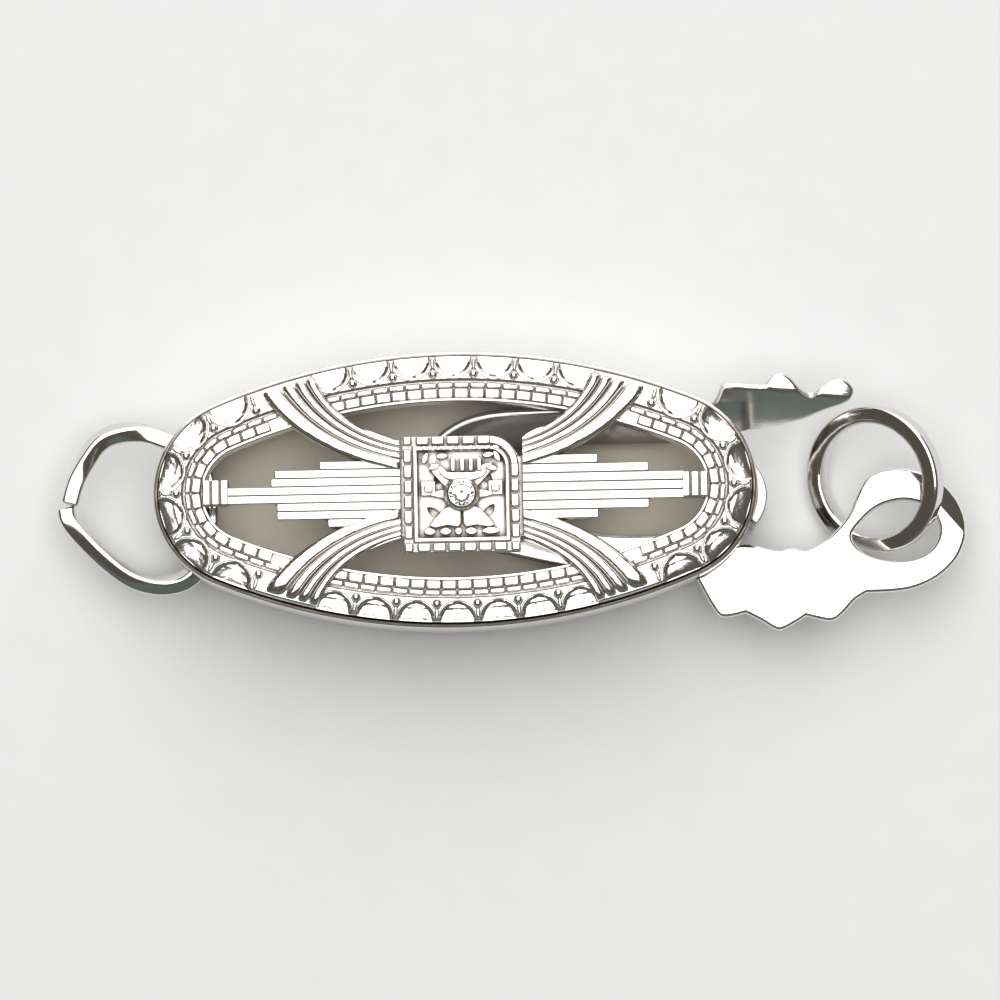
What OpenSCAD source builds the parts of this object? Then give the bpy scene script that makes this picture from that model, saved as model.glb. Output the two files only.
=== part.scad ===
// Fish-hook clasp: an oval filigree box that a springy hook is threaded into.
// The box lies on its back, front face up, with the hook leaving it towards +X.
// The origin is the centre of the back's outer face.

/* [Box] */
// Length of the oval box
box_l = 16.1; // [15.6:0.1:16.6]
// Width of the oval box
box_w = 7.4; // [7.3:0.05:7.6]
// Height of the wall, from the back to the rim
box_h = 3; // [3:0.05:3.2]
// Radius of the oval's two ends
end_r = 2.6; // [2.5:0.05:2.7]
// Thickness of the wall
wall_t = 0.36; // [0.34:0.02:0.4]
// Thickness of the back
back_t = 0.3; // [0.25:0.05:0.35]
// How far the wall leans in at the back
back_lean = 0.42; // [0.3:0.02:0.5]
// Thickness of the rim that is left round the front
rim_t = 0.12; // [0.1:0.01:0.16]
// How deep the front's seat lies below the rim
seat_depth = 0.62; // [0.58:0.02:0.66]

/* [Front] */
// Width of the ornamented border
border_w = 1.2; // [1.1:0.05:1.3]
// Height of the border's top face above the back
border_z = 3.35; // [3.3:0.05:3.4]
// Radius of one scooped lunette
lunette_r = 0.53; // [0.47:0.01:0.54]
// Slope of a lunette's bright face
lunette_slope = 24; // [18:1:28]
// Number of grains in the beaded line
grain_count = 76; // [72:4:84]
// Height of the bars above the back
bar_z = 3.42; // [3.38:0.01:3.46]

/* [Plaque] */
// Side of the square plaque
plaque_w = 3.28; // [3.1:0.02:3.4]
// Height of the plaque
plaque_h = 0.62; // [0.55:0.01:0.7]
// Grains along each side of the plaque
plaque_grains = 7; // [6:1:8]
// Diameter of the stone
stone_d = 0.84; // [0.7:0.02:0.9]

/* [Hook] */
// Thickness of the hook's sheet
sheet_t = 0.26; // [0.24:0.01:0.28]
// Height of the hook's flat leg above the back
leg_z = 1.5; // [1.4:0.05:1.6]
// Turn of the upper leg out of the flat
leg_roll = 48; // [44:1:50]

/* [Rings] */
// Wire of the ring at the box's end
end_wire_d = 0.48; // [0.44:0.02:0.5]
// Wire of the jump ring in the hook's eye
jump_wire_d = 0.54; // [0.5:0.01:0.55]
// Outer diameter of the jump ring
jump_d = 4.1; // [4.05:0.05:4.15]

/* [Hidden] */
$fn = 64;
metal = [0.82, 0.82, 0.81];
gap = 0.03;

// The oval is four tangent arcs: two ends of radius end_r and two long sides.
half_l = box_l / 2;
half_w = box_w / 2;
end_x = half_l - end_r;
side_r = (end_x * end_x + half_w * half_w - end_r * end_r) / (2 * (half_w - end_r));
side_y = side_r - half_w;
end_angle = atan2(side_y, end_x);

// Depths below the oval's outer face, and heights, of the front's border.
front_in = rim_t + gap;
seat_z = box_h - seat_depth;
front_under = seat_z + gap;
grain_in = front_in + border_w - 0.22;
lunette_in = front_in + 0.02;
// Underside of the sheaves and bars.
rib_z = 2.75;

// Arc lengths along one quarter of the oval, from the middle of a long side to the end.
function side_len(d) = (side_r - d) * (90 - end_angle) * PI / 180;
function quarter_len(d) = side_len(d) + (end_r - d) * end_angle * PI / 180;

// A place at depth d, s along a quarter: [x, y, direction of the outward normal].
function on_quarter(s, d) =
    s < side_len(d)
    ? let (a = 90 - s / (side_r - d) * 180 / PI)
      [(side_r - d) * cos(a), (side_r - d) * sin(a) - side_y, a]
    : let (a = end_angle - (s - side_len(d)) / (end_r - d) * 180 / PI)
      [end_x + (end_r - d) * cos(a), (end_r - d) * sin(a), a];

// The same for s along the whole oval, clockwise from the middle of the +Y side.
function on_oval(s, d) =
    let (
        whole = quarter_len(d),
        quarter = floor(s / whole),
        part = s - quarter * whole,
        p = on_quarter(quarter % 2 == 0 ? part : whole - part, d),
        right = quarter < 2,
        up = quarter == 0 || quarter == 3
    )
    [right ? p[0] : -p[0], up ? p[1] : -p[1],
     right ? (up ? p[2] : -p[2]) : (up ? 180 - p[2] : 180 + p[2])];

function oval_points(d, n = 96) =
    [for (i = [0:n - 1]) let (p = on_oval(i * 4 * quarter_len(d) / n, d)) [p[0], p[1]]];

// Sweeps a profile round the oval. Its x is the depth in from the outer face, and its y is the height.
module oval_sweep() {
    for (turn = [0, 180])
        rotate(turn) {
            translate([end_x, 0])
                rotate(-end_angle)
                    rotate_extrude(angle = 2 * end_angle)
                        translate([end_r, 0]) mirror([1, 0]) children();
            translate([0, -side_y])
                rotate(end_angle)
                    rotate_extrude(angle = 180 - 2 * end_angle)
                        translate([side_r, 0]) mirror([1, 0]) children();
        }
}

// Skins a row of rings, each a list of the same number of points, into a closed solid.
module skin(rings) {
    n = len(rings[0]);
    last = len(rings) - 1;
    polyhedron(
        points = [for (ring = rings) for (p = ring) p],
        faces = concat(
            [[for (j = [0:n - 1]) j]],
            [for (i = [0:last - 1]) for (j = [0:n - 1])
                let (k = (j + 1) % n)
                for (face = [[i * n + j, (i + 1) * n + j, i * n + k],
                             [i * n + k, (i + 1) * n + j, (i + 1) * n + k]]) face],
            [[for (j = [n - 1:-1:0]) last * n + j]]));
}

// The mouth at the box's +X end, where both legs of the hook pass. It stops short of the seat.
mouth_sill = 0.8;
mouth_top = seat_z - 0.08;
mouth_low = -2.42;
mouth_high = 2.5;

// The bar left standing in the mouth bows outwards past the oval.
bar_w = 1.6;
bar_y = -0.26;
bar_t = 0.3;
bar_r = 1.2;
bar_reach = 0.27;
bar_foot = 0.35;
bar_half_turn = 70;

module bar() {
    inner_r = bar_r - bar_t;
    foot_r = inner_r - bar_foot;
    foot_z = back_t / 2;
    top_z = box_h - 0.2;
    translate([half_l + bar_reach - bar_r, bar_y, 0])
        intersection() {
            rotate(-bar_half_turn)
                rotate_extrude(angle = 2 * bar_half_turn)
                    polygon([
                        [foot_r, foot_z], [bar_r, foot_z], [bar_r, top_z],
                        [inner_r, top_z], [inner_r, mouth_sill], [foot_r, mouth_sill]]);
            translate([0, -bar_w / 2, 0]) cube([2 * bar_r, bar_w, box_h]);
        }
}

// The end ring's wire enters the wall at two places: [x, y, direction of the wire].
wire_z = 1.3;
hole_d = end_wire_d + 0.24;
hole_depth = 1.5;
upper_hole = [-7.5, 1.49, -23];
lower_hole = [-7, -1.87, 40];

module wire_hole(place) {
    translate([place[0], place[1], wire_z])
        rotate([0, 90, place[2]])
            cylinder(h = hole_depth, d = hole_d, center = true);
}

// The wall is upright down to belly_z, and then curves in to the back in two slopes.
belly_z = 1.5;
heel_z = 0.4;
heel_in = back_lean / 3;

module walls() {
    oval_sweep()
        polygon([
            [back_lean, 0], [heel_in, heel_z], [0, belly_z], [0, box_h], [rim_t, box_h],
            [rim_t, seat_z], [wall_t, seat_z], [wall_t, belly_z],
            [wall_t + heel_in, heel_z + 0.1], [wall_t + back_lean, back_t], [wall_t + back_lean, 0]]);
    linear_extrude(back_t) polygon(oval_points(back_lean + wall_t / 2));
}

module box_shell() {
    color(metal)
        difference() {
            union() {
                difference() {
                    walls();
                    translate([end_x, mouth_low, mouth_sill])
                        cube([2 * end_r, mouth_high - mouth_low, mouth_top - mouth_sill]);
                    wire_hole(upper_hole);
                    wire_hole(lower_hole);
                }
                bar();
            }
            // The front's seat stays clear of the bar.
            translate([0, 0, seat_z + gap / 3])
                linear_extrude(box_h) polygon(oval_points(rim_t + gap / 3));
        }
}

// The sheaves are fluted bands that leave the plaque level and flare up to the border.
sheaf_start = [1.4, 0.88];
sheaf_knee = [3.5, 1.3];
sheaf_end = [4.45, 2.88];
sheaf_w0 = 0.36;
sheaf_w1 = 0.78;
sheaf_twist = 15;
sheaf_top = bar_z + 0.02;
sheaf_dip = 0.3;
flutes = 4;
flute_h = 0.1;
sheaf_steps = 8;
flute_steps = 4;

function bezier(a, b, c, t) = (1 - t) * (1 - t) * a + 2 * t * (1 - t) * b + t * t * c;
function bezier_way(a, b, c, t) = let (v = (1 - t) * (b - a) + t * (c - b)) atan2(v[1], v[0]);

// Height of the metal under the flutes, which rolls down over the border's outer edge.
function sheaf_z(t) = sheaf_top - sheaf_dip * pow(t, 5);

function sheaf_ring(t) =
    let (
        c = bezier(sheaf_start, sheaf_knee, sheaf_end, t),
        way = bezier_way(sheaf_start, sheaf_knee, sheaf_end, t) + sheaf_twist * t * t,
        w = sheaf_w0 + (sheaf_w1 - sheaf_w0) * t * t,
        side = [-sin(way), cos(way)],
        n = flutes * flute_steps
    )
    concat(
        [for (j = [0:n])
            let (v = w * (1 - 2 * j / n), rise = flute_h * abs(sin(180 * j / flute_steps)))
            [c[0] + v * side[0], c[1] + v * side[1], sheaf_z(t) + rise]],
        [for (e = [-1, 1]) [c[0] + e * w * side[0], c[1] + e * w * side[1], rib_z]]);

// The flutes are filed away where the plaque is seated on them.
module sheaves() {
    difference() {
        for (x = [0, 1]) for (y = [0, 1])
            mirror([x, 0]) mirror([0, y])
                skin([for (i = [0:sheaf_steps]) sheaf_ring(i / sheaf_steps)]);
        translate([plaque_at[0], plaque_at[1], bar_z + gap / 3 + 0.5])
            cube([plaque_w + gap, plaque_w + gap, 1], center = true);
    }
}

// Reach of each ridge from the middle, from -Y to +Y, on the two sides of the plaque.
left_reach = [3.4, 4.75, 4.75, 6.1, 6.1, 4.9, 4.8, 3.6];
right_reach = [3.8, 5.15, 6.1, 6.2, 6.1, 5.15, 3.8];
// The ridges on each side: [distance apart, place across].
left_row = [0.22, -0.1];
right_row = [0.245, 0];
ridge_share = 0.56;
ridge_lap = 0.1;
tip_c = [6.38, 0, 3.1];
tip_size = [0.75, 0.7, 0.62];

module bars(reach, row) {
    pitch = row[0];
    r = pitch * ridge_share;
    for (i = [0:len(reach) - 1])
        translate([-ridge_lap, row[1] + (i - (len(reach) - 1) / 2) * pitch, 0])
            rotate([90, 0, 90])
                linear_extrude(reach[i] + ridge_lap) {
                    translate([-pitch / 2, rib_z]) square([pitch, bar_z - r - rib_z]);
                    translate([0, bar_z - r]) circle(r);
                }
    translate(tip_c) cube(tip_size, center = true);
}

// The lunettes fill the border between the sheaves: seven along each long side and six round each end.
side_pitch = 1.11;
end_pitch = 1.3;
lunette_depth = 0.3;
whole_round = 4 * quarter_len(lunette_in);
lunette_places = [
    for (side = [0, 1]) for (k = [-3:3]) (whole_round * (1 + side / 2) + k * side_pitch) % whole_round,
    for (side = [0, 1]) for (k = [-2.5:2.5]) whole_round * (1 / 4 + side / 2) + k * end_pitch];

module lunette_scoop(s) {
    p = on_oval(s, lunette_in);
    translate([p[0], p[1], border_z - lunette_depth])
        rotate([0, lunette_slope, p[2]])
            cylinder(h = 1, r = lunette_r);
}

// The sheaves cover the beaded line between these two distances from the middle.
cover_from = 3.45;
cover_to = 4.85;
grain_d = 0.34;
grain_sunk = 0.2;
grain_rise = 0.06;

function under_sheaf(p) = abs(p[0]) > cover_from && abs(p[0]) < cover_to && abs(p[1]) > sheaf_start[1];

module grains() {
    pitch = 4 * quarter_len(grain_in) / grain_count;
    for (i = [0:grain_count - 1]) {
        p = on_oval((i + 0.5) * pitch, grain_in);
        if (!under_sheaf(p))
            translate([p[0], p[1], border_z - grain_sunk])
                rotate(p[2]) cylinder(h = grain_sunk + grain_rise, d = grain_d, $fn = 8);
    }
}

// The border has a chamfered outer edge, a flat top, and a ledge inside it that carries the grains.
edge_w = 0.12;
ledge_z = border_z - 0.12;
top_in = border_w - 0.42;
ledge_slope = 0.02;
slab_z = 3.2;
slab_w = plaque_w - 0.3;

module filigree_front() {
    color(metal) {
        difference() {
            oval_sweep()
                translate([front_in, 0])
                    polygon([
                        [0, front_under], [0, border_z - edge_w], [edge_w, border_z], [top_in, border_z],
                        [top_in + ledge_slope, ledge_z], [border_w, ledge_z], [border_w, front_under]]);
            for (s = lunette_places) lunette_scoop(s);
        }
        grains();
        sheaves();
        bars(right_reach, right_row);
        mirror([1, 0]) bars(left_reach, left_row);
        translate([plaque_at[0], plaque_at[1], (rib_z + slab_z) / 2])
            cube([slab_w, slab_w, slab_z - rib_z], center = true);
    }
}

// The plaque is a rounded square with grains round its edge and a bright-cut star round the stone.
// It sits a little off the middle.
plaque_at = [0.17, -0.2];
plaque_under = bar_z + gap;
corner_r = 0.3;
field_w = plaque_w - 0.9;
field_depth = 0.16;
edge_grain_d = 0.36;
edge_grain_in = 0.2;
edge_grain_h = 0.09;
star_z = plaque_h - 0.05;
ray_root = 0.3;
ray_w = 0.4;
short_ray = 1.05;
long_ray = 1.4;
collet_r = 0.56;
collet_h = plaque_h + 0.04;

// The stone's girdle, above the plaque's underside.
girdle_h = plaque_h + 0.02;
crown_h = 0.14;
table_share = 0.6;
pavilion_h = 0.34;
culet_d = 0.02;
seat_gap = 0.03;

module rounded_square(w, h) {
    inner = w - 2 * corner_r;
    translate([0, 0, h / 2]) {
        cube([w, inner, h], center = true);
        cube([inner, w, h], center = true);
    }
    for (x = [-1, 1]) for (y = [-1, 1])
        translate([x * inner / 2, y * inner / 2]) cylinder(h = h, r = corner_r);
}

module plaque_grain_row() {
    reach = plaque_w / 2 - edge_grain_in;
    for (i = [0:plaque_grains - 1])
        translate([-reach + 2 * reach * i / plaque_grains, reach, plaque_h - edge_grain_h])
            cylinder(h = 2 * edge_grain_h, d = edge_grain_d, $fn = 8);
}

// Eight rays: the long ones reach into the corners.
module star() {
    for (i = [0:7])
        rotate(45 * i)
            linear_extrude(star_z)
                polygon([[ray_root, ray_w / 2], [ray_root, -ray_w / 2], [i % 2 == 0 ? short_ray : long_ray, 0]]);
}

module centre_plaque() {
    color(metal)
        translate([plaque_at[0], plaque_at[1], plaque_under])
            difference() {
                union() {
                    difference() {
                        rounded_square(plaque_w, plaque_h);
                        translate([-field_w / 2, -field_w / 2, plaque_h - field_depth])
                            cube([field_w, field_w, 1]);
                    }
                    star();
                    cylinder(h = collet_h, r = collet_r);
                    for (i = [0:3]) rotate(90 * i) plaque_grain_row();
                }
                translate([0, 0, girdle_h - pavilion_h - 2 * seat_gap])
                    cylinder(h = pavilion_h + 2 * seat_gap, r1 = 0.1, r2 = stone_d / 2 + seat_gap);
                translate([0, 0, girdle_h])
                    cylinder(h = 1, r = stone_d / 2 + seat_gap);
            }
}

// A single-cut stone: a table, eight crown facets and eight pavilion facets.
module centre_stone() {
    color([0.9, 0.93, 0.96, 0.7])
        translate([plaque_at[0], plaque_at[1], plaque_under + girdle_h]) {
            cylinder(h = crown_h, d1 = stone_d, d2 = stone_d * table_share, $fn = 8);
            translate([0, 0, -pavilion_h]) cylinder(h = pavilion_h, d1 = culet_d, d2 = stone_d, $fn = 8);
        }
}

// A smooth curve through the points of a route, at t from 0 to the last point's number.
function route_at(route, t) =
    let (last = len(route) - 1,
         i = min(floor(t), last - 1),
         u = t - i,
         b = route[i],
         c = route[i + 1],
         a = i > 0 ? route[i - 1] : 2 * b - c,
         d = i + 2 <= last ? route[i + 2] : 2 * c - b)
    (2 * b + (c - a) * u + (2 * a - 5 * b + 4 * c - d) * u * u + (3 * b - a - 3 * c + d) * u * u * u) / 2;

// Which way a route runs at t.
function route_way(route, t) =
    let (last = len(route) - 1,
         h = 0.01,
         v = route_at(route, min(t + h, last)) - route_at(route, max(t - h, 0)))
    [v[0], v[1], v[2]] / norm([v[0], v[1], v[2]]);

// The hook is one strip: a flat leg, a hairpin, and an upper leg turned up on its outer edge.
// The strip is a touch thinner than the plate and the tab, so that it ends inside them.
upper_y = 1.78;
upper_z = 1.55;
strip_t = sheet_t - 0.02;
hook_route = [
    // x, y, z, width, turn out of the flat as a share of the upper leg's
    [6.6, -1.72, leg_z, 1.08, 0], [5.2, -1.72, leg_z, 1.08, 0], [4.2, -1.7, leg_z, 1.08, 0],
    [3.3, -1.56, leg_z, 1.08, 0.02], [1.7, -1.18, leg_z, 1.08, 0.06], [0.8, -0.98, leg_z, 1.08, 0.12],
    [0.05, -0.66, leg_z, 1.08, 0.25], [-0.4, -0.1, leg_z, 1.08, 0.4], [-0.46, 0.6, 1.5, 1.12, 0.6],
    [-0.05, 1.25, 1.52, 1.2, 0.78], [0.8, 1.66, 1.54, 1.27, 0.92], [2.2, upper_y, upper_z, 1.3, 1],
    [4, upper_y, upper_z, 1.3, 1], [7.2, upper_y, upper_z, 1.3, 1]];
strip_steps = 3;

function strip_ring(t) =
    let (p = route_at(hook_route, t),
         v = route_way(hook_route, t),
         turn = leg_roll * p[4],
         flat = [-v[1], v[0], 0] / norm([v[0], v[1]]),
         across = cos(turn) * flat + [0, 0, sin(turn)],
         up = cross(v, across),
         c = [p[0], p[1], p[2]])
    [for (k = [[1, 1], [-1, 1], [-1, -1], [1, -1]])
        c + k[0] * p[3] / 2 * across + k[1] * strip_t / 2 * up];

module strip() {
    skin([for (i = [0:strip_steps * (len(hook_route) - 1)]) strip_ring(i / strip_steps)]);
}

// Scallops along an edge, from rows of x, y and radius.
module scallops(rows) {
    for (row = rows) translate([row[0], row[1]]) circle(row[2]);
}

// The flat thumb plate with its eye. Its left shoulder stops at the end of the mouth.
plate_outline = [
    [6.3, -1.2], [7.3, -1.46], [8.5, -1.58], [9.4, -1.62], [10.05, -1.27],
    [10.6, -0.6], [12.08, -2.84], [10.75, -2.95], [10.5, -3.2], [9.4, -3.3],
    [7.7, -3.3], [6.98, -3.36], [6.58, -2.38], [6.3, -2.22]];
plate_scallops = [
    // x, y, radius
    [7.3, -2.85, 0.64], [8.6, -3, 0.84], [9.95, -2.92, 0.66]];
eye_c = [12.08, -1.18];
eye_r = 1.66;
// The eye's hole is a slot with round ends, hole_half on each side of its middle.
hole_c = [11.85, -1.17];
hole_r = 0.8;
hole_half = 0.32;

module thumb_plate() {
    translate([0, 0, leg_z - sheet_t / 2])
        linear_extrude(sheet_t)
            difference() {
                union() {
                    polygon(plate_outline);
                    scallops(plate_scallops);
                    translate(eye_c) circle(eye_r);
                }
                for (e = [-1, 1]) translate(hole_c + [e * hole_half, 0]) circle(hole_r);
                translate(hole_c) square([2 * hole_half, 2 * hole_r], center = true);
            }
}

// The upper leg's finger tab has the same scallops and is turned up with the leg.
tab_outline = [
    [6.9, -0.6], [7.7, -0.24], [8.6, -0.04], [9.25, 0.17], [9.75, 0.45], [10.5, 0.7],
    [10.2, 1.2], [9.5, 0.98], [8.7, 1.2], [8.15, 1.18], [7.5, 1.15], [7.1, 0.86], [6.9, 0.6]];
tab_scallops = [
    // x, distance from the leg's middle, radius
    [7.64, 0.8, 0.54], [8.76, 1.06, 0.6], [10.17, 0.9, 0.52]];

module finger_tab() {
    translate([0, upper_y, upper_z])
        rotate([leg_roll, 0, 0])
            linear_extrude(sheet_t, center = true) {
                polygon(tab_outline);
                scallops(tab_scallops);
            }
}

module hook() {
    color(metal) {
        strip();
        thumb_plate();
        finger_tab();
    }
}

// The end ring's wire, from its upper cut end, through the box's end, to its lower cut end.
end_ring_route = [
    // x, y, z
    [-10.34, 0.07, 1.47], [-10.2, 0.55, 1.48], [-9.89, 1.17, 1.48], [-9.53, 1.62, 1.47],
    [-8.96, 1.84, 1.44], [-8.34, 1.82, 1.38], [-7.8, 1.62, 1.32], [-7.35, 1.42, 1.3],
    [-6.95, 1.1, 1.3], [-6.7, 0.5, 1.3], [-6.62, -0.3, 1.3], [-6.68, -1.1, 1.3],
    [-6.84, -1.7, 1.3], [-7.2, -2.08, 1.28], [-7.6, -2.24, 1.22], [-8.14, -2.25, 1.12],
    [-8.79, -2.03, 1.02], [-9.5, -1.47, 1], [-10.12, -0.83, 1.05], [-10.42, -0.45, 1.12],
    [-10.5, -0.12, 1.17]];
route_steps = 3;
wire_sides = 10;

function wire_ring(route, t, r) =
    let (along = route_way(route, t),
         up = [0, 0, 1] - along[2] * along,
         lift = up / norm(up),
         side = cross(lift, along))
    [for (j = [0:wire_sides - 1])
        let (a = 360 * j / wire_sides)
        route_at(route, t) + r * (cos(a) * side + sin(a) * lift)];

module end_ring() {
    steps = route_steps * (len(end_ring_route) - 1);
    color(metal)
        skin([for (i = [0:steps]) wire_ring(end_ring_route, i / route_steps, end_wire_d / 2)]);
}

// The jump ring leans through the eye: its -X side is under the plate and its +X side over it.
jump_c = [11.28, 0.21];
jump_lean = 35;
jump_turn = 22;
floor_gap = 0.01;

module jump_ring() {
    wire_r = jump_wire_d / 2;
    ring_r = jump_d / 2 - wire_r;
    color(metal)
        translate([jump_c[0], jump_c[1], ring_r * sin(jump_lean) + wire_r + floor_gap])
            rotate([0, -jump_lean, jump_turn])
                rotate_extrude() translate([ring_r, 0]) circle(wire_r);
}

box_shell();
filigree_front();
centre_plaque();
centre_stone();
hook();
end_ring();
jump_ring();
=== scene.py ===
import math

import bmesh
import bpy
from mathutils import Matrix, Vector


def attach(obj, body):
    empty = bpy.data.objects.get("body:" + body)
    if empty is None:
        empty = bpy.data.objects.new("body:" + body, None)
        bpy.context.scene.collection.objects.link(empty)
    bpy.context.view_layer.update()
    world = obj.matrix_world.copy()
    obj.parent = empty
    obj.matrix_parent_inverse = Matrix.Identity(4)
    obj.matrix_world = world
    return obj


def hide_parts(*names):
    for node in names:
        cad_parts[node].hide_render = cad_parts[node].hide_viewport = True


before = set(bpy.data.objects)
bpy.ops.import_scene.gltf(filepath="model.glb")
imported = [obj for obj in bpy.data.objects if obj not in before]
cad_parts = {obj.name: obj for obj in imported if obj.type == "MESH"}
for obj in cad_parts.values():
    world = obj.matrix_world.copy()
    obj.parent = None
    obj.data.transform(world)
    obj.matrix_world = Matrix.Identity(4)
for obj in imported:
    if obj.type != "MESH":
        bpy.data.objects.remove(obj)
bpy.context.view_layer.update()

# %% [markdown]
# A fish-hook clasp closes a pearl or bead necklace. The hook is threaded into a small oval box, catches
# behind an upright bar in the box's mouth, and springs there. This lesson dresses the plain solids of such
# a clasp with bright white metal, cast filigree, grains and a small stone. It works in millimetres, the unit
# of a jeweller's bench, and each finished piece is brought down to Blender's metres when it is done.

MM = 0.001


def clear_bench():
    """Leaves edit mode and lets go of everything."""
    if bpy.context.object and bpy.context.object.mode == "EDIT":
        bpy.ops.object.mode_set(mode="OBJECT")
    bpy.ops.object.select_all(action="DESELECT")


def hold(piece):
    """Makes one piece the selected and active one."""
    clear_bench()
    piece.select_set(True)
    bpy.context.view_layer.objects.active = piece


def edit(piece):
    """Holds a piece in edit mode with everything selected."""
    hold(piece)
    bpy.ops.object.mode_set(mode="EDIT")
    bpy.ops.mesh.select_all(action="SELECT")


def choose(kind, test):
    """Selects the vertices, edges or faces in edit mode that pass a test."""
    bpy.ops.mesh.select_mode(type=kind)
    bpy.ops.mesh.select_all(action="DESELECT")
    mesh = bmesh.from_edit_mesh(bpy.context.object.data)
    mesh.normal_update()
    parts = {"VERT": mesh.verts, "EDGE": mesh.edges, "FACE": mesh.faces}[kind]
    for part in [part for part in parts if test(part)]:
        part.select_set(True)
    mesh.select_flush_mode()
    bmesh.update_edit_mesh(bpy.context.object.data)


def middle(part):
    """The middle of an edge or a face."""
    return sum((v.co for v in part.verts), Vector()) / len(part.verts)


def outline(name, points):
    """A closed line through the points: a circle of as many corners, each brought to its place."""
    clear_bench()
    bpy.ops.mesh.primitive_circle_add(vertices=len(points), radius=1)
    piece = bpy.context.object
    piece.name = name
    for corner, place in zip(piece.data.vertices, points):
        corner.co = place
    return piece


def blank(name, points, z, thick):
    """A flat blank with a straight-sided outline."""
    piece = outline(name, [Vector((x, y, z - thick / 2)) for x, y in points])
    edit(piece)
    bpy.ops.mesh.edge_face_add()
    bpy.ops.mesh.extrude_region_move(TRANSFORM_OT_translate={"value": (0, 0, thick)})
    tidy_faces()
    clear_bench()
    return piece


def tidy_faces():
    """Merges doubles and turns all faces outwards, in edit mode."""
    bpy.ops.mesh.select_all(action="SELECT")
    bpy.ops.mesh.remove_doubles(threshold=0.0005)
    bpy.ops.mesh.normals_make_consistent(inside=False)


def loft(name, rings):
    """A solid through rings: the first is filled, and each extrusion is brought to the next ring."""
    piece = outline(name, rings[0])
    edit(piece)
    bpy.ops.mesh.edge_face_add()
    for before, ring in zip(rings, rings[1:]):
        bpy.ops.mesh.extrude_region_move()
        mesh = bmesh.from_edit_mesh(piece.data)
        for corner in [v for v in mesh.verts if v.select]:
            nearest = min(range(len(before)), key=lambda k: (corner.co - Vector(before[k])).length_squared)
            corner.co = ring[nearest]
    tidy_faces()
    bpy.ops.object.mode_set(mode="OBJECT")
    return piece


def modify(piece, kind, **values):
    """Adds a modifier with its values and applies it."""
    hold(piece)
    modifier = piece.modifiers.new(kind.lower(), kind)
    for key, value in values.items():
        setattr(modifier, key, value)
    bpy.ops.object.modifier_apply(modifier=modifier.name)
    return piece


def cut(piece, tool):
    """Cuts a piece with a tool and clears the tool away."""
    modify(piece, "BOOLEAN", object=tool, operation="DIFFERENCE", solver="EXACT")
    bpy.data.objects.remove(tool)


def join(name, pieces):
    """Makes one object of several."""
    hold(pieces[0])
    for piece in pieces:
        piece.select_set(True)
    bpy.ops.object.join()
    pieces[0].name = name
    return pieces[0]


def copies(name, model, places):
    """Copies a model to each place, a matrix, and joins the copies. The model itself goes."""
    made = []
    for place in places:
        copy = model.copy()
        copy.data = model.data.copy()
        bpy.context.scene.collection.objects.link(copy)
        copy.data.transform(place)
        made.append(copy)
    bpy.data.objects.remove(model)
    return join(name, made)


def at(x, y, z, turn=0.0):
    """A place and a turn about the upright axis in degrees, as a matrix."""
    return Matrix.Translation((x, y, z)) @ Matrix.Rotation(math.radians(turn), 4, "Z")


def soften(piece, width, segments=2, angle=35):
    """Rounds the sharp edges a little, as polishing does."""
    return modify(piece, "BEVEL", width=width, segments=segments, limit_method="ANGLE",
                  angle_limit=math.radians(angle), use_clamp_overlap=False)


def finish_piece(piece, body, material, smooth=35):
    """Brings a piece from millimetres to metres, smooths it and hands it to its body."""
    hold(piece)
    bpy.ops.transform.resize(value=(MM, MM, MM), center_override=(0, 0, 0))
    bpy.ops.object.transform_apply(location=True, rotation=True, scale=True)
    bpy.ops.object.shade_smooth_by_angle(angle=math.radians(smooth))
    modify(piece, "WEIGHTED_NORMAL", keep_sharp=True, weight=90)
    if not piece.data.materials:
        piece.data.materials.append(material)
    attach(piece, body)
    print(f"{piece.name}: {len(piece.data.polygons)} faces")


# %% [markdown]
# The camera comes first, because every piece is judged through it. The picture was taken nearly from
# overhead, so the camera stands 85 degrees up and one degree round, 18 cm away. Its lens is set so that
# the picture is 27.1 mm wide at the height of the table.

# %% Camera
RISE, ROUND, AWAY, WIDE = math.radians(85), math.radians(1.1), 0.18, 0.0271
view_dir = Vector((-math.sin(ROUND) * math.cos(RISE), -math.cos(ROUND) * math.cos(RISE), math.sin(RISE)))
view_right = Vector((math.cos(ROUND), -math.sin(ROUND), 0))
view_up = view_dir.cross(view_right)
AIM_RIGHT, AIM_UP = 1.192, -0.013
aim = view_right * AIM_RIGHT * MM + view_up * AIM_UP * MM
camera_data = bpy.data.cameras.new("camera")
camera_data.sensor_width = 36
camera_data.lens = 36 * AWAY / WIDE
camera_data.clip_start = 0.01
camera = bpy.data.objects.new("camera", camera_data)
camera.location = aim + view_dir * AWAY
camera.rotation_euler = view_dir.to_track_quat("Z", "Y").to_euler()
bpy.context.scene.collection.objects.link(camera)
bpy.context.scene.camera = camera
print("lens", round(camera_data.lens, 1))

# %% [markdown]
# Polished metal has hardly a colour of its own: it shows the room. A jeweller's photographer therefore
# stands a large soft light above and behind the piece, so that the tops turn white, and leaves the near
# side of the room dark, so that every slope towards the lens draws a fine dark line. A small dark card, which
# the lens doesn't see, stands on that side for the finger tab to reflect.

# %% Light and table


def softbox(name, place, size, power, colour):
    lamp = bpy.data.lights.new(name, "AREA")
    lamp.shape, lamp.size, lamp.size_y = "RECTANGLE", size[0], size[1]
    lamp.energy, lamp.color = power, colour
    stand = bpy.data.objects.new(name, lamp)
    stand.location = place
    stand.rotation_euler = Vector(place).to_track_quat("Z", "Y").to_euler()
    stand.visible_camera = False
    bpy.context.scene.collection.objects.link(stand)


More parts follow.
